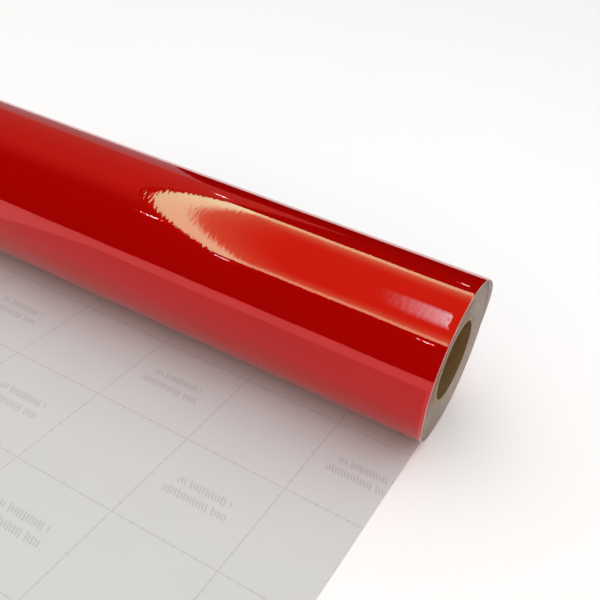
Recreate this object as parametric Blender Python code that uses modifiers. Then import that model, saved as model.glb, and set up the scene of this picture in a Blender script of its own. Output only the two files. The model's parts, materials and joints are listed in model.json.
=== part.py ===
"""Roll of self-adhesive sign vinyl on a paper core, with its free end laid out in front of it.

Metres, +Z up. X runs along the roll and the laid web points towards -Y. The origin is at the
middle of the footprint, on the surface that the roll lies on. The web comes out from under the
roll: film side down, release liner up.
"""
import math

import bmesh
import bpy

# Driving dimensions.
WEB_WIDTH = 0.610          # stock width of the web, and length of the core
ROLL_R = 0.0790            # roll, over its outermost turn
CORE_BORE_R = 0.0381       # three-inch core
LAID_LENGTH = 0.450        # web laid flat in front of the line it leaves the roll at
LAID_BEHIND = 0.008        # the last of the flat web, just behind that line

FILM_T = 0.00016           # face film with its adhesive coat
LINER_T = 0.00014          # release liner
LAYER_GAP = 0.00004        # between film and liner
CLEARANCE = 0.00010        # between turns that move past each other

PLY_GAP = 0.00005          # glue line between two plies of the core
CORE_PLIES = (             # from the bore outwards: name and thickness
    ("core_inner_ply", 0.0006),
    ("core_body_ply_1", 0.0012),
    ("core_body_ply_2", 0.0012),
    ("core_body_ply_3", 0.0012),
    ("core_outer_ply", 0.0006),
)

TAPE_T = 0.00012
TAPE_WIDTH = 0.050
TAPE_ARC = math.radians(50)
TAPE_PLACES = (("left", -0.255), ("middle", 0.0), ("right", 0.255))

TURN_STEPS = 96            # facets round a full turn
TURN_START = math.radians(7.5)   # behind the contact line, where the outer turn lifts off

# Worked out from the sizes above.
WEB_T = FILM_T + LAYER_GAP + LINER_T
CORE_R = CORE_BORE_R + sum(ply[1] for ply in CORE_PLIES) + PLY_GAP * (len(CORE_PLIES) - 1)
WOUND_IN_R = CORE_R + TAPE_T + 2 * CLEARANCE
WOUND_OUT_R = ROLL_R - 2 * WEB_T - CLEARANCE
AXIS_Z = WOUND_OUT_R + 2 * WEB_T + 2 * CLEARANCE
CONTACT_Y = (LAID_LENGTH - ROLL_R) / 2
AXIS = (0.0, CONTACT_Y, AXIS_Z)

# Base colour, roughness.
FINISHES = {
    "red_film": ((0.58, 0.018, 0.010), 0.12),
    "release_liner": ((0.66, 0.65, 0.63), 0.50),
    "wound_edges": ((0.33, 0.24, 0.19), 0.60),
    "kraft_paper": ((0.30, 0.20, 0.10), 0.85),
    "core_board": ((0.36, 0.29, 0.17), 0.90),
    "paper_tape": ((0.72, 0.63, 0.44), 0.75),
}


def clear_scene():
    for obj in list(bpy.data.objects):
        bpy.data.objects.remove(obj, do_unlink=True)


def make_materials():
    materials = {}
    for name, (colour, roughness) in FINISHES.items():
        material = bpy.data.materials.new(name)
        material.use_nodes = True
        shader = material.node_tree.nodes["Principled BSDF"]
        shader.inputs["Base Color"].default_value = (*colour, 1.0)
        shader.inputs["Roughness"].default_value = roughness
        shader.inputs["Metallic"].default_value = 0.0
        materials[name] = material
    return materials


def add_object(name, bm, material, collection, parent=None):
    mesh = bpy.data.meshes.new(name)
    bm.to_mesh(mesh)
    bm.free()
    mesh.materials.append(material)
    obj = bpy.data.objects.new(name, mesh)
    collection.objects.link(obj)
    obj.parent = parent
    return obj


def smooth_turned_faces(obj):
    """Make the modifiers' result the object's own mesh, smooth round it and sharp at its edges."""
    evaluated = obj.evaluated_get(bpy.context.evaluated_depsgraph_get())
    mesh = bpy.data.meshes.new_from_object(evaluated)
    obj.modifiers.clear()
    obj.data = mesh
    mesh.name = obj.name
    mesh.shade_smooth()
    mesh.set_sharp_from_angle(angle=math.radians(30))


def turned_ring(name, inner_r, outer_r, material, collection, parent):
    """A tube of the web's width round the roll's axis."""
    half = WEB_WIDTH / 2
    corners = [(outer_r, half), (outer_r, -half), (inner_r, -half), (inner_r, half)]
    bm = bmesh.new()
    verts = [bm.verts.new((radius, 0.0, height)) for radius, height in corners]
    for start, end in zip(verts, verts[1:] + verts[:1]):
        bm.edges.new((start, end))
    ring = add_object(name, bm, material, collection, parent)
    ring.rotation_euler = (0.0, math.pi / 2, 0.0)
    screw = ring.modifiers.new("turn", "SCREW")
    screw.axis = "Z"
    screw.angle = math.tau
    screw.steps = TURN_STEPS
    screw.render_steps = TURN_STEPS
    screw.use_merge_vertices = True
    screw.merge_threshold = 0.00001
    smooth_turned_faces(ring)
    return ring


def sheet_on_path(name, path, x_start, width, thickness, material, collection, parent=None):
    """A sheet across the roll whose lower or outer face follows path, a list of (y, z) points."""
    bm = bmesh.new()
    line = [bm.verts.new((x_start, y, z)) for y, z in path]
    edges = [bm.edges.new(pair) for pair in zip(line, line[1:])]
    swept = bmesh.ops.extrude_edge_only(bm, edges=edges)["geom"]
    far_side = [item for item in swept if isinstance(item, bmesh.types.BMVert)]
    bmesh.ops.translate(bm, verts=far_side, vec=(width, 0.0, 0.0))
    sheet = add_object(name, bm, material, collection, parent)
    solidify = sheet.modifiers.new("thickness", "SOLIDIFY")
    solidify.thickness = thickness
    solidify.offset = 1.0
    solidify.use_even_offset = True
    smooth_turned_faces(sheet)
    return sheet


def outer_turn_path(depth):
    """Points (y, z) from the roll's axis along the outermost turn, depth below its outer face.

    The angle runs from the contact line up the back, over the top and down the front, while
    the radius falls by one thickness of the web.
    """
    steps = TURN_STEPS - round(TURN_START / math.tau * TURN_STEPS)
    path = []
    for step in range(steps + 1):
        angle = TURN_START + (math.tau - TURN_START) * step / steps
        radius = ROLL_R - depth - WEB_T * angle / math.tau
        path.append((radius * math.sin(angle), -radius * math.cos(angle)))
    return path


def tape_path():
    """Points (y, z) from the roll's axis along a tape strip's outer face, over the core."""
    radius = CORE_R + CLEARANCE + TAPE_T
    steps = 12
    angles = [TAPE_ARC * (step / steps - 0.5) for step in range(steps + 1)]
    return [(radius * math.sin(angle), -radius * math.cos(angle)) for angle in angles]


def build_laid_web(materials, collection):
    front = CONTACT_Y - LAID_LENGTH
    back = CONTACT_Y + LAID_BEHIND
    layers = (
        ("laid_film", 0.0, FILM_T, "red_film"),
        ("laid_liner", FILM_T + LAYER_GAP, LINER_T, "release_liner"),
    )
    for name, height, thickness, finish in layers:
        path = [(front, height), (back, height)]
        sheet_on_path(name, path, -WEB_WIDTH / 2, WEB_WIDTH, thickness, materials[finish], collection)


def build_outer_turn(materials, collection, carriage):
    layers = (
        ("outer_turn_film", 0.0, FILM_T, "red_film"),
        ("outer_turn_liner", FILM_T + LAYER_GAP, LINER_T, "release_liner"),
    )
    for name, depth, thickness, finish in layers:
        path = outer_turn_path(depth)
        sheet_on_path(name, path, -WEB_WIDTH / 2, WEB_WIDTH, thickness, materials[finish],
                      collection, carriage)


def build_core(materials, collection, spindle):
    inner_r = CORE_BORE_R
    for name, thickness in CORE_PLIES:
        outer_r = inner_r + thickness
        finish = "core_board" if "body" in name else "kraft_paper"
        turned_ring(name, inner_r, outer_r, materials[finish], collection, spindle)
        inner_r = outer_r + PLY_GAP


def build_start_tapes(materials, collection, spindle):
    for place, middle in TAPE_PLACES:
        sheet_on_path("start_tape_" + place, tape_path(), middle - TAPE_WIDTH / 2, TAPE_WIDTH,
                      TAPE_T, materials["paper_tape"], collection, spindle)


def add_empty(name, location, collection, parent=None):
    empty = bpy.data.objects.new(name, None)
    empty.location = location
    empty.parent = parent
    collection.objects.link(empty)
    return empty


def main():
    clear_scene()
    collection = bpy.data.collections.new("sign_vinyl_roll")
    bpy.context.scene.collection.children.link(collection)
    materials = make_materials()
    carriage = add_empty("carriage", AXIS, collection)
    spindle = add_empty("spindle", (0.0, 0.0, 0.0), collection, carriage)
    build_laid_web(materials, collection)
    build_outer_turn(materials, collection, carriage)
    turned_ring("wound_web", WOUND_IN_R, WOUND_OUT_R, materials["wound_edges"], collection, spindle)
    build_core(materials, collection, spindle)
    build_start_tapes(materials, collection, spindle)


main()
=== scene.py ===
"""Looks of a roll of red sign vinyl whose free end lies flat in front of it, liner side up."""
import json
import math

import bpy
import numpy as np
from mathutils import Matrix, Vector, noise


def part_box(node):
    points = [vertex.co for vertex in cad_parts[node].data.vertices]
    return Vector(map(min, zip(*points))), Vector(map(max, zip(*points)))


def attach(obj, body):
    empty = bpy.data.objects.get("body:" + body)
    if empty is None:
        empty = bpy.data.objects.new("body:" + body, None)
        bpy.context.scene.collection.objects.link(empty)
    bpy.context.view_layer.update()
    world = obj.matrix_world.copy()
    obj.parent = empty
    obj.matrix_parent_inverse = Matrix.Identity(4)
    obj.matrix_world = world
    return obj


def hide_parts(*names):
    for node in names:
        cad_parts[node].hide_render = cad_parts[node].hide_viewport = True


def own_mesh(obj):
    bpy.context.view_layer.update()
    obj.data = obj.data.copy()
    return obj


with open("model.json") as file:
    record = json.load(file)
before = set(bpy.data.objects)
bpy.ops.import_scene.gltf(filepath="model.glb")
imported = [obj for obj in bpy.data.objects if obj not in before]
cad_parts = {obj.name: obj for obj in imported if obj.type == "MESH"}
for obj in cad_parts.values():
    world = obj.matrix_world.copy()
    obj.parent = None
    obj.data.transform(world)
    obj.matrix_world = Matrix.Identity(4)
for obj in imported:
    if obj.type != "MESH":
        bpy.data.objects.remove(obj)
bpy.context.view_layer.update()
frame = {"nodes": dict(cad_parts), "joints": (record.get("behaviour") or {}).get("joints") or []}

# The frame's own sizes, in metres.
AXIS_Y, AXIS_Z = next(j for j in frame["joints"] if j["name"] == "roll_spin")["pos_m"][1:]
WOUND_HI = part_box("wound_web")[1]
TURN_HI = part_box("outer_turn_film")[1]
LAID_LO, LAID_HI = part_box("laid_film")
LINING_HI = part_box("core_inner_ply")[1]
CORE_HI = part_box("core_outer_ply")[1]

TURN_DRAWN_IN = 0.0001          # how much closer to the axis the outermost turn is at the back

HALF_WIDTH = WOUND_HI.x
WOUND_R = WOUND_HI.z - AXIS_Z
CORE_R = CORE_HI.z - AXIS_Z
LINING_R = LINING_HI.z - AXIS_Z
ROLL_R = TURN_HI.y - AXIS_Y + TURN_DRAWN_IN
FRONT_Y = LAID_LO.y             # the web's cut end
JOIN_Y = LAID_HI.y              # where the laid web goes over into the outermost turn
JOIN_ANGLE = math.asin((JOIN_Y - AXIS_Y) / ROLL_R)

# Web, in metres.
FILM_T = 0.00015
LINER_T = 0.00014
PLY_GAP = 0.00003               # between film and liner, so that they don't touch
WOUND_PLY_GAP = 0.000005        # the same in the tight turns
FLOOR_GAP = 0.0002              # between the studio floor and the laid web
PITCH = 0.00030                 # film, liner and the air between turns
CORE_GAP = 0.00030              # room for the tape that starts the web


# ---------------------------------------------------------------------------
# Mesh helpers
# ---------------------------------------------------------------------------

SHARP_ANGLE = math.radians(40)


def new_object(name, verts, faces, materials, face_materials, smooth=True):
    mesh = bpy.data.meshes.new(name)
    mesh.from_pydata(verts, [], faces)
    for material in materials:
        mesh.materials.append(material)
    mesh.polygons.foreach_set("material_index", np.asarray(face_materials, dtype=np.int32))
    mesh.polygons.foreach_set("use_smooth", np.full(len(mesh.polygons), smooth))
    mesh.update()
    obj = bpy.data.objects.new(name, mesh)
    bpy.context.scene.collection.objects.link(obj)
    return obj


def thick_grid(name, top, bottom, materials, wrap=False, flip=False):
    """A closed sheet between two grids of points, shape (rows, columns, 3).

    The two skins take the first material and the rim takes the second. wrap joins the last row
    to the first.
    """
    rows, columns = top.shape[:2]
    verts = np.concatenate([top.reshape(-1, 3), bottom.reshape(-1, 3)])
    below = rows * columns

    def at(row, column, skin=0):
        return (row % rows) * columns + column + skin * below

    faces, kinds = [], []

    def add(corners, kind):
        faces.append(tuple(reversed(corners)) if flip else tuple(corners))
        kinds.append(kind)

    last = rows if wrap else rows - 1
    for row in range(last):
        for column in range(columns - 1):
            quad = [(row, column), (row, column + 1), (row + 1, column + 1), (row + 1, column)]
            add([at(r, c) for r, c in quad], 0)
            add([at(r, c, 1) for r, c in reversed(quad)], 0)
        for column, step in ((0, 1), (columns - 1, -1)):
            rim = [at(row, column), at(row + 1, column), at(row + 1, column, 1), at(row, column, 1)]
            add(rim[::step], 1)
    if not wrap:
        for row, step in ((0, -1), (rows - 1, 1)):
            for column in range(columns - 1):
                above = [at(row, column), at(row, column + 1)]
                under = [at(row, column + 1, 1), at(row, column, 1)]
                add((above + under)[::step], 1)
    obj = new_object(name, verts.tolist(), faces, materials, kinds)
    obj.data.set_sharp_from_angle(angle=SHARP_ANGLE)
    return obj


def smoothstep(low, high, value):
    t = np.clip((value - low) / (high - low), 0.0, 1.0)
    return t * t * (3 - 2 * t)


# ---------------------------------------------------------------------------
# Materials
# ---------------------------------------------------------------------------

class Nodes:
    """Short calls for building one material's node tree."""

    def __init__(self, name):
        self.material = bpy.data.materials.new(name)
        self.material.use_nodes = True
        self.tree = self.material.node_tree
        self.shader = self.tree.nodes["Principled BSDF"]

    def set(self, **values):
        for name, value in values.items():
            socket = self.shader.inputs[name.replace("_", " ")]
            socket.default_value = (*value, 1.0) if isinstance(value, tuple) else value

    def link(self, source, socket):
        self.tree.links.new(source, self.shader.inputs[socket])

    def node(self, kind, **settings):
        made = self.tree.nodes.new(kind)
        for name, value in settings.items():
            setattr(made, name, value)
        return made

    def feed(self, socket, value):
        if isinstance(value, bpy.types.NodeSocket):
            self.tree.links.new(value, socket)
        else:
            socket.default_value = value

    def math(self, operation, a, b=0.0, c=0.0):
        made = self.node("ShaderNodeMath", operation=operation)
        for socket, value in zip(made.inputs, (a, b, c)):
            self.feed(socket, value)
        return made.outputs[0]

    def stretch(self, vector, factors):
        made = self.node("ShaderNodeVectorMath", operation="MULTIPLY")
        self.feed(made.inputs[0], vector)
        self.feed(made.inputs[1], factors)
        return made.outputs[0]

    def position(self):
        return self.node("ShaderNodeTexCoord").outputs["Object"]

    def split(self, vector):
        made = self.node("ShaderNodeSeparateXYZ")
        self.feed(made.inputs[0], vector)
        return made.outputs

    def join(self, x, y, z=0.0):
        made = self.node("ShaderNodeCombineXYZ")
        for socket, value in zip(made.inputs, (x, y, z)):
            self.feed(socket, value)
        return made.outputs[0]

    def noise(self, vector, scale, detail=2.0, roughness=0.5):
        made = self.node("ShaderNodeTexNoise")
        self.feed(made.inputs["Vector"], vector)
        made.inputs["Scale"].default_value = scale
        made.inputs["Detail"].default_value = detail
        made.inputs["Roughness"].default_value = roughness
        return made.outputs[0]

    def remap(self, value, low, high, to_low=0.0, to_high=1.0, smooth=False):
        made = self.node("ShaderNodeMapRange")
        if smooth:
            made.interpolation_type = "SMOOTHSTEP"
        for socket, item in zip(made.inputs, (value, low, high, to_low, to_high)):
            self.feed(socket, item)
        return made.outputs[0]

    def blend(self, factor, first, second):
        made = self.node("ShaderNodeMix", data_type="RGBA")
        self.feed(made.inputs["Factor"], factor)
        for socket, value in ((made.inputs[6], first), (made.inputs[7], second)):
            self.feed(socket, (*value, 1.0) if isinstance(value, tuple) else value)
        return made.outputs[2]

    def bump(self, height, distance, strength=1.0):
        made = self.node("ShaderNodeBump")
        made.inputs["Strength"].default_value = strength
        made.inputs["Distance"].default_value = distance
        self.feed(made.inputs["Height"], height)
        return made.outputs[0]

    def around_axis(self):
        """Distance from the roll's axis, angle round it as a share of a turn, and X."""
        x, y, z = self.split(self.position())
        y = self.math("SUBTRACT", y, AXIS_Y)
        z = self.math("SUBTRACT", z, AXIS_Z)
        square = self.math("ADD", self.math("POWER", y, 2.0), self.math("POWER", z, 2.0))
        radius = self.math("SQRT", square)
        turn = self.math("DIVIDE", self.math("ARCTAN2", y, z), math.tau)
        return radius, turn, x


PEEL_DEPTH = 0.000035           # unevenness of the film's glossy face


def red_film_material():
    """Glossy clear film over a red layer of fine glass beads, which mirrors a little in red."""
    n = Nodes("red_film")
    place = n.position()
    beads = n.noise(place, 1400.0, 1.0)
    cloud = n.noise(place, 9.0, 3.0)
    sparkle = n.remap(beads, 0.62, 0.78)
    base = n.blend(cloud, (0.47, 0.0015, 0.0007), (0.54, 0.0024, 0.0012))
    n.link(n.blend(n.math("MULTIPLY", sparkle, 0.35), base, (0.76, 0.010, 0.006)), "Base Color")
    n.set(Metallic=0.36, Roughness=0.07, Specular_IOR_Level=0.0)
    n.set(Coat_Weight=1.0, Coat_Roughness=0.018, Coat_IOR=1.5)
    peel = n.noise(n.stretch(place, (1.0, 0.45, 0.45)), 280.0, 1.0, 0.4)
    n.link(n.bump(peel, PEEL_DEPTH), "Coat Normal")
    n.link(n.bump(beads, 0.00002, 0.5), "Normal")
    return n.material


def film_edge_material(name, dark, light):
    """Slit edge of the film, where the red face, the beads and the adhesive blend to one tone. On the
    outermost turn its lighter colours are a painted highlight.
    """
    n = Nodes(name)
    layer = n.noise(n.position(), 900.0, 2.0)
    n.link(n.blend(n.remap(layer, 0.35, 0.65), dark, light), "Base Color")
    n.set(Roughness=0.55)
    return n.material


def liner_edge_material():
    n = Nodes("liner_edge")
    fibres = n.noise(n.position(), 2500.0, 2.0)
    n.link(n.blend(fibres, (0.62, 0.57, 0.51), (0.80, 0.76, 0.71)), "Base Color")
    n.set(Roughness=0.8)
    return n.material


def wound_edge_material(name, dark, light):
    """Edges of the tight turns. Rings differ a little where the slitting knife or the tension did."""
    n = Nodes(name)
    radius, turn, _ = n.around_axis()
    rings = n.noise(n.join(n.math("MULTIPLY", radius, 420.0), 0.0), 1.0, 3.0, 0.65)
    drift_at = n.join(n.math("MULTIPLY", radius, 60.0), n.math("MULTIPLY", turn, 5.0))
    drift = n.noise(drift_at, 1.0, 2.0)
    fine = n.noise(n.position(), 1800.0, 2.0)
    shade = n.math("ADD", n.math("MULTIPLY", rings, 0.6), n.math("MULTIPLY", drift, 0.4))
    base = n.blend(n.remap(shade, 0.38, 0.62), dark, light)
    grey = tuple(0.6 * value for value in dark)
    n.link(n.blend(n.math("MULTIPLY", n.remap(fine, 0.5, 0.75), 0.3), base, grey), "Base Color")
    n.set(Roughness=0.48, Specular_IOR_Level=0.4)
    n.link(n.bump(fine, 0.00004, 0.5), "Normal")
    return n.material


GRID_CELL = 0.100               # grid printed on the liner
GRID_LINE = 0.00075
TICK_STEP = 0.010
TICK_LINE = 0.0006
TICK_LENGTH = 0.0030
HALF_CELL_LINE = 0.0007         # the longer tick in the middle of each cell
HALF_CELL_LENGTH = 0.0044
GRID_X = HALF_WIDTH - 0.0775    # first grid line in from the right edge
GRID_Y = AXIS_Y - 0.0522        # first grid line in front of the roll


def printed_grid(n, x, y):
    """1 on the lines and ticks of the liner's printed grid."""

    def off_line(value, step):
        """Distance to the nearest multiple of step."""
        share = n.math("FRACT", n.math("ADD", n.math("DIVIDE", value, step), 1000.5))
        return n.math("MULTIPLY", n.math("ABSOLUTE", n.math("SUBTRACT", share, 0.5)), step)

    def stroke(distance, width):
        return n.remap(distance, 0.5 * width, 0.5 * width + 0.0002, 1.0, 0.0)

    ink = 0.0
    for across, along in ((x, y), (y, x)):
        from_line = off_line(across, GRID_CELL)
        line = stroke(from_line, GRID_LINE)
        tick = stroke(off_line(along, TICK_STEP), TICK_LINE)
        short = n.math("MULTIPLY", tick, stroke(from_line, TICK_LENGTH))
        to_middle = n.math("SUBTRACT", off_line(along, GRID_CELL), GRID_CELL / 2)
        half = stroke(n.math("ABSOLUTE", to_middle), HALF_CELL_LINE)
        long = n.math("MULTIPLY", half, stroke(from_line, HALF_CELL_LENGTH))
        marks = n.math("MAXIMUM", n.math("MAXIMUM", line, short), long)
        ink = n.math("MAXIMUM", ink, marks)
    return ink


MARK_STEP = 0.0030              # from one stroke of the printed rows to the next
MARK_HEIGHT = 0.0095
MARK_LEAN = 0.35
MARK_ROWS = ((0.022, 0.074, 0.0585), (0.016, 0.078, 0.0445))   # start, end and middle in the cell


def printed_marks(n, x, y):
    """Two rows of plain strokes in every other cell of the grid, in place of wording."""
    cell_x = n.math("FLOOR", n.math("DIVIDE", x, GRID_CELL))
    cell_y = n.math("FLOOR", n.math("DIVIDE", y, GRID_CELL))
    odd = n.math("MODULO", n.math("ADD", n.math("ADD", cell_x, cell_y), 1001.0), 2.0)
    local_x = n.math("SUBTRACT", x, n.math("MULTIPLY", cell_x, GRID_CELL))
    local_y = n.math("SUBTRACT", y, n.math("MULTIPLY", cell_y, GRID_CELL))
    rows = 0.0
    for (start, end, middle), seed in zip(MARK_ROWS, (3.1, 8.7)):
        above = n.math("SUBTRACT", local_y, middle)
        step = n.math("DIVIDE", n.math("ADD", local_x, n.math("MULTIPLY", above, MARK_LEAN)), MARK_STEP)
        index = n.math("FLOOR", step)
        white = n.node("ShaderNodeTexWhiteNoise", noise_dimensions="2D")
        n.feed(white.inputs["Vector"], n.join(index, seed))
        chance = white.outputs["Value"]
        within = n.math("ABSOLUTE", n.math("SUBTRACT", n.math("SUBTRACT", step, index), 0.5))
        bar = n.remap(within, 0.25, 0.33, 1.0, 0.0)
        tall = n.math("MULTIPLY", n.remap(chance, 0.0, 1.0, 0.55, 1.0), MARK_HEIGHT / 2)
        bar = n.math("MULTIPLY", bar, n.math("LESS_THAN", n.math("ABSOLUTE", above), tall))
        bar = n.math("MULTIPLY", bar, n.math("GREATER_THAN", local_x, start))
        bar = n.math("MULTIPLY", bar, n.math("LESS_THAN", local_x, end))
        rows = n.math("MAXIMUM", rows, n.math("MULTIPLY", bar, n.math("GREATER_THAN", chance, 0.12)))
    return n.math("MULTIPLY", rows, n.math("LESS_THAN", odd, 0.5))


def liner_material():
    """Silicone-coated paper with its printed side out."""
    n = Nodes("release_liner")
    place = n.position()
    x, y, _ = n.split(place)
    along_x = n.math("SUBTRACT", x, GRID_X)
    along_y = n.math("SUBTRACT", y, GRID_Y)
    grid = printed_grid(n, along_x, along_y)
    marks = n.math("MULTIPLY", printed_marks(n, along_x, along_y), 0.95)
    worn = n.remap(n.noise(place, 700.0, 2.0), 0.3, 0.7, 0.55, 1.0)
    ink = n.math("MULTIPLY", n.math("MAXIMUM", grid, marks), worn)
    cloud = n.noise(place, 14.0, 3.0)
    fibre = n.noise(n.stretch(place, (1.0, 0.35, 1.0)), 1500.0, 3.0, 0.6)
    paper = n.blend(cloud, (0.604, 0.618, 0.622), (0.642, 0.655, 0.660))
    paper = n.blend(n.math("MULTIPLY", fibre, 0.10), paper, (0.56, 0.55, 0.53))
    n.link(n.blend(n.math("MULTIPLY", ink, 0.55), paper, (0.36, 0.355, 0.35)), "Base Color")
    n.set(Roughness=0.50, Specular_IOR_Level=0.14)
    n.link(n.bump(n.noise(place, 320.0, 3.0, 0.6), 0.00003, 0.6), "Normal")
    return n.material


def liner_back_material():
    """Liner where only its plain silicone side or its edge shows."""
    n = Nodes("release_liner_plain")
    fibre = n.noise(n.position(), 900.0, 3.0, 0.6)
    n.link(n.blend(fibre, (0.60, 0.59, 0.57), (0.70, 0.69, 0.67)), "Base Color")
    n.set(Roughness=0.45)
    return n.material


def kraft_material(name, dark, light, seam_pitch):
    """Kraft paper laid in a helix: fibres, specks and the darker line of the butted seam."""
    n = Nodes(name)
    _, turn, x = n.around_axis()
    wrap = n.math("ADD", n.math("DIVIDE", x, seam_pitch), turn)
    share = n.math("FRACT", n.math("ADD", wrap, 100.5))
    seam = n.math("ABSOLUTE", n.math("SUBTRACT", share, 0.5))
    line = n.remap(seam, 0.004, 0.012, 1.0, 0.0)
    fibres_at = n.join(n.math("MULTIPLY", wrap, 260.0), n.math("MULTIPLY", turn, 40.0), x)
    fibres = n.noise(fibres_at, 1.0, 4.0, 0.65)
    specks = n.remap(n.noise(n.position(), 900.0, 2.0), 0.66, 0.74)
    base = n.blend(n.remap(fibres, 0.3, 0.7), dark, light)
    speck_colour = tuple(0.45 * value for value in dark)
    seam_colour = tuple(0.4 * value for value in dark)
    base = n.blend(n.math("MULTIPLY", specks, 0.35), base, speck_colour)
    n.link(n.blend(n.math("MULTIPLY", line, 0.55), base, seam_colour), "Base Color")
    n.set(Roughness=0.86, Specular_IOR_Level=0.25)
    n.link(n.bump(n.math("ADD", fibres, specks), 0.00012, 0.6), "Normal")
    return n.material


BOARD_SHEET_T = 0.0004


def core_board_material():
    """Sawn core board: thin sheets glued on each other, seen end on."""
    n = Nodes("core_board")
    radius, _, _ = n.around_axis()
    sheet = n.math("FRACT", n.math("DIVIDE", radius, BOARD_SHEET_T))
    glue = n.remap(n.math("ABSOLUTE", n.math("SUBTRACT", sheet, 0.5)), 0.36, 0.48)
    fibre = n.noise(n.position(), 1300.0, 4.0, 0.7)
    base = n.blend(n.remap(fibre, 0.3, 0.7), (0.26, 0.20, 0.12), (0.47, 0.39, 0.27))
    n.link(n.blend(n.math("MULTIPLY", glue, 0.5), base, (0.16, 0.12, 0.07)), "Base Color")
    n.set(Roughness=0.92, Specular_IOR_Level=0.2)
    n.link(n.bump(fibre, 0.0003, 0.8), "Normal")
    return n.material


def tape_material():
    n = Nodes("paper_tape")
    x, y, z = n.split(n.position())
    crepe = n.noise(n.join(n.math("MULTIPLY", x, 1500.0), n.math("MULTIPLY", y, 250.0), z), 1.0, 3.0)
    n.link(n.blend(crepe, (0.60, 0.50, 0.32), (0.80, 0.72, 0.52)), "Base Color")
    n.set(Roughness=0.8)
    n.link(n.bump(crepe, 0.0001, 0.8), "Normal")
    return n.material


def floor_material():
    n = Nodes("studio_floor")
    cloud = n.noise(n.position(), 3.0, 2.0)
    n.link(n.blend(cloud, (0.95, 0.95, 0.95), (0.97, 0.97, 0.97)), "Base Color")
    n.set(Roughness=0.9, Specular_IOR_Level=0.0)
    return n.material


# ---------------------------------------------------------------------------
# The web laid flat
# ---------------------------------------------------------------------------

END_LIFT = 0.0010               # at the cut end, all across
CORNER_LIFT = 0.0024            # more of it towards the corners
END_RIPPLE = 0.0004
LOOSE_RIPPLE = 0.00025          # away from the roll, where nothing presses the web down
EDGE_WAVE = 0.00080             # along the slit edges


def laid_height(x, y):
    """How far the laid web stands off the surface.

    Its cut end and corners lift a little. Near the roll it lies flat, as the roll rolls over it.
    """
    end = smoothstep(FRONT_Y + 0.110, FRONT_Y, y)
    corner = smoothstep(0.45 * HALF_WIDTH, HALF_WIDTH, np.abs(x))
    ripple = 0.5 + 0.5 * np.sin(x * 21.0 + 0.8 * np.sin(y * 15.0))
    loose = smoothstep(AXIS_Y - 0.10, AXIS_Y - 0.30, y)
    edge = smoothstep(0.035, 0.0, HALF_WIDTH - np.abs(x))
    wave = 0.5 + 0.5 * np.sin(y * 42.0 + np.sign(x) * 1.1)
    lift = END_LIFT * end**2 + CORNER_LIFT * end**2 * corner + END_RIPPLE * end * ripple
    return lift + loose * (LOOSE_RIPPLE * ripple + EDGE_WAVE * edge**2 * wave)


LAID_SHIFT = -0.0034            # sideways place of the laid web where it leaves the roll
LAID_SKEW = 0.0072              # radians by which it runs on to the left as it comes forward


def laid_shift(y):
    """How far the laid web stands to the side of the tight turns."""
    return LAID_SHIFT + LAID_SKEW * (y - AXIS_Y)


def laid_sheet(name, low, thickness, materials):
    columns = np.linspace(-HALF_WIDTH, HALF_WIDTH, 123)
    rows = np.linspace(FRONT_Y, JOIN_Y, 117)
    y, x = np.meshgrid(rows, columns, indexing="ij")
    height = laid_height(x, y) + low
    x = x + laid_shift(y)
    bottom = np.stack([x, y, height], axis=-1)
    top = np.stack([x, y, height + thickness], axis=-1)
    sheet = thick_grid(name, top, bottom, materials)
    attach(sheet, "laid_web")
    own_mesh(sheet)
    return sheet


# ---------------------------------------------------------------------------
# The outermost turn
# ---------------------------------------------------------------------------

TURN_TIGHTENING = 0.00034       # radius that the spiral loses over the outermost turn
SLIT_ROUNDING = 0.00010         # drop of the faces over the last 10 mm before each slit edge
SLIT_DROP = 0.00014             # and over the last 0.9 mm
OVERHANG = 0.0042               # how far the turn has wandered to the right over its top and front
CURL = 0.0006                   # how far its unsupported edge turns in
FILM_SHRINK = 0.0002            # how far the film has drawn back from the edges of its liner


def turn_radius(angle, x):
    """Radius of the outermost turn's outer face.

    angle is 0 at the contact line and grows up the back.
    """
    spiral = ROLL_R - TURN_TIGHTENING * angle / math.tau
    down = AXIS_Z / math.cos(JOIN_ANGLE) - ROLL_R
    meet = down * smoothstep(math.radians(20), JOIN_ANGLE, angle)
    edge = HALF_WIDTH - np.abs(x)
    rounding = SLIT_ROUNDING * smoothstep(0.010, 0.0, edge) ** 2
    drop = SLIT_DROP * smoothstep(0.0009, 0.0, edge) ** 2
    long_wave = 0.000018 * np.sin(angle * 5.0 + x * 34.0)
    short_wave = 0.000012 * np.sin(angle * 11.0 - x * 71.0 + 1.0)
    return spiral + meet - rounding - drop + long_wave + short_wave


def turn_shift(angle):
    """Sideways place of the turn. It starts at the laid web and ends in line with the tight turns."""
    first = laid_shift(JOIN_Y)
    up_the_back = smoothstep(0.6, 2.6, angle)
    down_the_front = smoothstep(math.tau, math.tau - 1.4, angle)
    return (first + (OVERHANG - first) * up_the_back) * down_the_front


def turn_columns():
    """Places across the web, closer together where the face drops to a slit edge."""
    even = np.linspace(-HALF_WIDTH, HALF_WIDTH, 185)
    near_edge = np.array([0.0002, 0.0004, 0.0006, 0.0009, 0.0014, 0.0020, 0.0028, 0.0037, 0.0046])
    return np.sort(np.concatenate([even, even[0] + near_edge, even[-1] - near_edge]))


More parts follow.
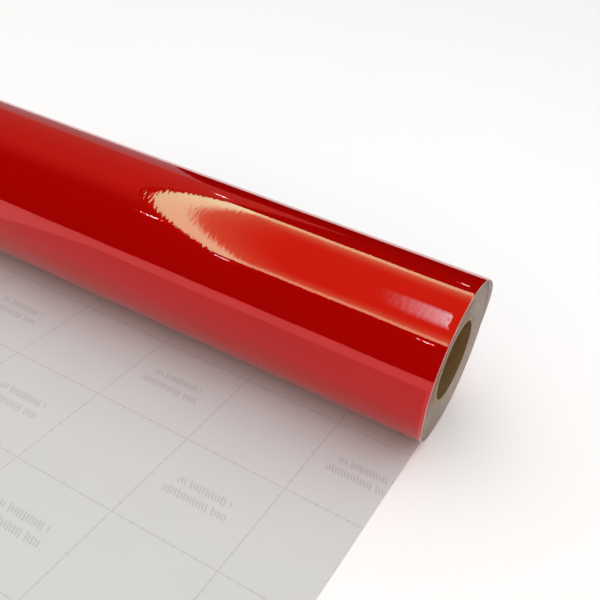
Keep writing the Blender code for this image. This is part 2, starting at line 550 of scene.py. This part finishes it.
def turn_sheet(name, depth, thickness, shrink, materials):
    """depth is how far the sheet's outer face lies below the turn's outer face.

    shrink is how far the sheet has drawn back from each side of the web.
    """
    angles = np.linspace(JOIN_ANGLE, math.tau, 241)
    angle, x = np.meshgrid(angles, turn_columns(), indexing="ij")
    share_left = 1 - shrink / HALF_WIDTH * smoothstep(JOIN_ANGLE, JOIN_ANGLE + 0.5, angle)
    place = x * share_left + turn_shift(angle)
    curl = CURL * (np.clip(place - HALF_WIDTH, 0.0, None) / OVERHANG) ** 2
    skins = []
    for below in (depth, depth + thickness):
        radius = turn_radius(angle, x) - curl - below
        y = AXIS_Y + radius * np.sin(angle)
        z = AXIS_Z - radius * np.cos(angle)
        skins.append(np.stack([place, y, z], axis=-1))
    sheet = thick_grid(name, skins[0], skins[1], materials)
    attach(sheet, "carriage")
    return sheet


# ---------------------------------------------------------------------------
# The tight turns
# ---------------------------------------------------------------------------

TURN_SEGMENTS = 72
LOOSE_TURNS = 10                # outer turns that hang a little slack
LOOSE_GAP = 0.00045             # how far they stand out at the back of the roll, where most
WOUND_CLEARANCE = 0.0003        # left free under the outermost turn
SIDE_DRIFT = 0.00030            # slow wander of the turns to either side
SIDE_JITTER = 0.00016           # and the step from one turn to the next


def side_step(turns):
    """How far each turn has run to one side, in metres: the faint steps on the roll's ends."""
    drift = [noise.noise(Vector((turn * 0.13, 4.0, 0.0))) * SIDE_DRIFT for turn in turns]
    jitter = [noise.noise(Vector((turn * 1.7, 9.0, 0.0))) * SIDE_JITTER for turn in turns]
    return np.array(drift) + np.array(jitter)


def wound_strip(name, inner, thickness, materials):
    """One strip of the web over all the tight turns. inner is its inner face above the spiral."""
    start_r = CORE_R + CORE_GAP
    turns = (WOUND_R - WOUND_CLEARANCE - LOOSE_GAP - start_r) / PITCH
    stations = int(turns * TURN_SEGMENTS)
    turn = turns * np.arange(stations + 1) / stations
    angle = -turn * math.tau
    loose = smoothstep(turns - LOOSE_TURNS - 0.5, turns - LOOSE_TURNS + 0.5, turn)
    slack = LOOSE_GAP * loose * (1 + np.sin(angle)) / 2
    radius = start_r + turn * PITCH + inner + slack
    side = side_step(turn)
    corners = []
    for face in (thickness, 0.0):
        for end in (-1, 1):
            y = AXIS_Y + (radius + face) * np.sin(angle)
            z = AXIS_Z - (radius + face) * np.cos(angle)
            corners.append(np.stack([end * HALF_WIDTH + side, y, z], axis=-1))
    verts = np.stack(corners, axis=1).reshape(-1, 3)
    base = 4 * np.arange(stations)[:, None]
    ring = np.array([[0, 1, 5, 4], [1, 3, 7, 5], [3, 2, 6, 7], [2, 0, 4, 6]])
    faces = (base[:, :, None] + ring[None]).reshape(-1, 4).tolist()
    kinds = np.tile([0, 1, 0, 1], stations).tolist()
    faces.append([0, 2, 3, 1])
    faces.append([4 * stations + corner for corner in (0, 1, 3, 2)])
    strip = new_object(name, verts.tolist(), faces, materials, kinds + [1, 1], smooth=False)
    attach(strip, "roll")
    return strip


# ---------------------------------------------------------------------------
# The core
# ---------------------------------------------------------------------------

SEAM_PITCH = 0.165              # advance of the inner ply's seam per turn
OUTER_SEAM_PITCH = 0.21
LINING_T = 0.0006
LAP_RIDGE = 0.00016


def core_lining(materials):
    """Inner ply of the core, with the low ridge where its strip laps on itself."""
    columns = np.linspace(-HALF_WIDTH, HALF_WIDTH, 245)
    angles = np.arange(96) * math.tau / 96
    angle, x = np.meshgrid(angles, columns, indexing="ij")
    lap = np.abs((x / SEAM_PITCH + angle / math.tau + 0.5) % 1.0 - 0.5) * SEAM_PITCH
    ridge = LAP_RIDGE * smoothstep(0.0055, 0.0035, lap)
    skins = []
    for depth in (0 * ridge, LINING_T + ridge):
        y = AXIS_Y + (LINING_R - depth) * np.sin(angle)
        z = AXIS_Z + (LINING_R - depth) * np.cos(angle)
        skins.append(np.stack([x, y, z], axis=-1))
    lining = thick_grid("core_lining", skins[0], skins[1], materials, wrap=True, flip=True)
    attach(lining, "roll")
    return lining


# ---------------------------------------------------------------------------
# Camera and light
# ---------------------------------------------------------------------------

CAMERA_FROM_ROLL_END = Vector((0.1143, -0.5887, 0.5058))   # from the contact line's right end
CAMERA_FORWARD = Vector((-0.3502, 0.7563, -0.5526))
CAMERA_ROLL = math.radians(8.0)
CAMERA_LENS = 48.58


def make_camera():
    data = bpy.data.cameras.new("camera")
    data.lens = CAMERA_LENS
    data.sensor_width = 36.0
    data.clip_start = 0.01
    camera = bpy.data.objects.new("camera", data)
    bpy.context.scene.collection.objects.link(camera)
    back = -CAMERA_FORWARD.normalized()
    level = back.to_track_quat("Z", "Y").to_matrix().to_4x4()
    place = Vector((HALF_WIDTH, AXIS_Y, 0.0)) + CAMERA_FROM_ROLL_END
    camera.matrix_world = Matrix.Translation(place) @ level @ Matrix.Rotation(CAMERA_ROLL, 4, "Z")
    bpy.context.scene.camera = camera


BLACK = (0.0, 0.0, 0.0)
WHITE = (1.0, 1.0, 1.0)
DOWN = (0.0, 0.0, -1.0)
TO_BACK = (0.0, 1.0, 0.0)
TO_FRONT = (0.0, -1.0, 0.0)

# What the film reflects. The bright colours hold little red, as the film mirrors red best.
SOFTBOX_Z = 1.5
SOFTBOX_LOW = Vector((HALF_WIDTH - 1.180, AXIS_Y - 1.300))
SOFTBOX_HIGH = Vector((HALF_WIDTH + 0.900, AXIS_Y + 1.200))
SOFTBOX_MIDDLE = (1.04, 0.24, 0.10)
SOFTBOX_GLOW = (1.3, 2.6, 1.3)
SOFTBOX_LONG_RIM = (1.9, 5.4, 3.1)
SOFTBOX_LEFT_RIM = (2.1, 8.6, 5.2)
CEILING_COLOUR = (0.50, 0.14, 0.11)
STRIP_COLOUR = (1.1, 8.6, 9.4)
LAMP_COLOUR = (0.4, 1.0, 1.0)
LAMP_SIZE = (0.045, 0.040)
LAMPS = ((-0.965, -0.58), (-1.060, 1.745), (-0.885, -1.26), (-0.110, 2.03), (-0.100, -1.34))


def area_light(name, place, size, radiance, colour=WHITE, aim=DOWN, seen_in_gloss=False):
    """A rectangle that either lights matt surfaces or shows as a reflection, never both."""
    data = bpy.data.lights.new(name, "AREA")
    data.shape = "RECTANGLE"
    data.size, data.size_y = size
    data.energy = radiance * math.pi * size[0] * size[1]
    data.color = colour
    light = bpy.data.objects.new(name, data)
    bpy.context.scene.collection.objects.link(light)
    light.location = place
    light.rotation_mode = "QUATERNION"
    light.rotation_quaternion = Vector(aim).to_track_quat("-Z", "Y")
    light.visible_camera = False
    light.visible_glossy = seen_in_gloss
    light.visible_diffuse = not seen_in_gloss
    return light


class LightNodes(Nodes):
    """Emission that varies over an area light. u and v run from 0 to 1 over its rectangle."""

    def __init__(self, light):
        light.data.use_nodes = True
        self.tree = light.data.node_tree
        self.shader = next(node for node in self.tree.nodes if node.type == "EMISSION")
        parametric = self.node("ShaderNodeNewGeometry").outputs["Parametric"]
        self.u, self.v = self.split(parametric)[:2]


def make_softbox():
    """A hung softbox, dim in the middle, with a glowing rim that is widest at its left end."""
    low, high = SOFTBOX_LOW, SOFTBOX_HIGH
    width, depth = high.x - low.x, high.y - low.y
    middle = ((low.x + high.x) / 2, (low.y + high.y) / 2, SOFTBOX_Z)
    light = area_light("softbox", middle, (width, depth), 1.0, seen_in_gloss=True)
    n = LightNodes(light)
    from_left = n.math("MULTIPLY", n.u, width)
    from_front = n.math("MULTIPLY", n.v, 0.85 * depth)
    from_back = n.math("MULTIPLY", n.math("SUBTRACT", 1.0, n.v), 0.60 * depth)
    from_side = n.math("MINIMUM", from_front, from_back)
    edge = n.math("MINIMUM", from_left, from_side)
    glow = n.math("POWER", n.remap(edge, 0.080, 0.460, 1.0, 0.0), 2.0)
    long_rim = n.remap(from_side, 0.090, 0.160, 1.0, 0.0, smooth=True)
    left_rim = n.remap(from_left, 0.110, 0.190, 1.0, 0.0, smooth=True)
    colour = n.blend(glow, SOFTBOX_MIDDLE, SOFTBOX_GLOW)
    colour = n.blend(long_rim, colour, SOFTBOX_LONG_RIM)
    n.link(n.blend(left_rim, colour, SOFTBOX_LEFT_RIM), "Color")


def make_ceiling():
    """Reflection of the room over the roll's left half, fading towards its front."""
    place = (-2.5, 1.35, SOFTBOX_Z + 0.05)
    n = LightNodes(area_light("ceiling", place, (3.1, 3.9), 1.0, seen_in_gloss=True))
    n.link(n.blend(n.remap(n.v, 0.0, 0.25, smooth=True), BLACK, CEILING_COLOUR), "Color")


def make_strip():
    """The short cool strip reflected near the roll's right end, brightest at its right."""
    place = (-0.034, -0.14, SOFTBOX_Z - 0.03)
    n = LightNodes(area_light("strip", place, (0.22, 0.66), 1.0, seen_in_gloss=True))
    along = n.math("POWER", n.u, 1.8)
    front_end = n.remap(n.v, 0.0, 0.35, smooth=True)
    back_end = n.remap(n.v, 1.0, 0.8, smooth=True)
    ends = n.math("MULTIPLY", front_end, back_end)
    n.link(n.blend(n.math("MULTIPLY", along, ends), BLACK, STRIP_COLOUR), "Color")


def make_lights():
    """Plain soft studio light: matt surfaces and reflections are lit by separate panels."""
    world = bpy.data.worlds.new("studio")
    bpy.context.scene.world = world
    world.use_nodes = True
    world.node_tree.nodes["Background"].inputs["Color"].default_value = (1.0, 1.0, 1.0, 1.0)
    world.cycles_visibility.glossy = False
    world.cycles_visibility.diffuse = False

    area_light("sky", (0.0, 0.0, 4.0), (24.0, 24.0), 0.985, (0.985, 1.0, 1.0))
    area_light("key", (0.3, 0.1, 1.7), (1.8, 1.8), 0.43)
    area_light("fill_front", (1.0, -6.2, 2.1), (10.0, 4.0), 1.50, (1.0, 0.57, 0.40), TO_BACK)

    make_softbox()
    make_ceiling()
    area_light("far_wall", (-8.0, 5.0, 1.2), (10.0, 2.4), 0.32, WHITE, TO_FRONT, seen_in_gloss=True)
    make_strip()
    for index, (x, y) in enumerate(LAMPS):
        place = (x, y, SOFTBOX_Z)
        area_light(f"lamp_{index}", place, LAMP_SIZE, 26.0, LAMP_COLOUR, seen_in_gloss=True)


# ---------------------------------------------------------------------------
# Build
# ---------------------------------------------------------------------------

make_camera()
make_lights()
bpy.context.scene.view_settings.view_transform = "Standard"

red_film = red_film_material()
film_edge = film_edge_material("film_edge", (0.40, 0.20, 0.16), (0.56, 0.40, 0.34))
# The outermost turn's slit edge is the same film edge painted lighter: a painted highlight line along
# its rim.
turn_painted_highlight_edge = film_edge_material("outer_turn_edge", (0.70, 0.46, 0.38), (0.86, 0.66, 0.58))
liner_edge = liner_edge_material()
liner_print = liner_material()
liner_plain = liner_back_material()
kraft = kraft_material("kraft_paper", (0.130, 0.078, 0.026), (0.235, 0.150, 0.060), SEAM_PITCH)
kraft_outside = kraft_material("kraft_outer", (0.24, 0.16, 0.08), (0.38, 0.27, 0.15), OUTER_SEAM_PITCH)
board = core_board_material()
wound_film_edge = wound_edge_material("wound_film_edge", (0.120, 0.070, 0.046), (0.25, 0.156, 0.110))
wound_liner_edge = wound_edge_material("wound_liner_edge", (0.24, 0.185, 0.135), (0.45, 0.360, 0.280))

LINER_DEPTH = FILM_T + PLY_GAP
laid_film = laid_sheet("laid_film_sheet", 0.0, FILM_T, [red_film, film_edge])
laid_liner = laid_sheet("laid_liner_sheet", LINER_DEPTH, LINER_T, [liner_print, liner_edge])
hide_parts("laid_film")
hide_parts("laid_liner")

turn_materials = [red_film, turn_painted_highlight_edge]
turn_film = turn_sheet("outer_turn_film_sheet", 0.0, FILM_T, FILM_SHRINK, turn_materials)
liner_materials = [liner_plain, liner_edge]
turn_liner = turn_sheet("outer_turn_liner_sheet", LINER_DEPTH, LINER_T, 0.0, liner_materials)
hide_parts("outer_turn_film")
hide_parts("outer_turn_liner")

wound_liner = wound_strip("wound_liner_strip", 0.0, LINER_T, [liner_plain, wound_liner_edge])
film_inner = LINER_T + WOUND_PLY_GAP
wound_film = wound_strip("wound_film_strip", film_inner, FILM_T, [red_film, wound_film_edge])
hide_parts("wound_web")
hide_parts("wound_web")

lining = core_lining([kraft, board])
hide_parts("core_inner_ply")
finishes = {f"core_body_ply_{number}": board for number in (1, 2, 3)}
finishes["core_outer_ply"] = kraft_outside
finishes.update({f"start_tape_{place}": tape_material() for place in ("left", "middle", "right")})
for node, finish in finishes.items():
    frame["nodes"][node].data.materials.clear()
    frame["nodes"][node].data.materials.append(finish)

floor_place = (0.0, 0.0, -FLOOR_GAP)
bpy.ops.mesh.primitive_circle_add(vertices=96, radius=5.5, fill_type="NGON", location=floor_place)
floor = bpy.context.object
floor.name = "studio_floor"
floor.data.materials.append(floor_material())
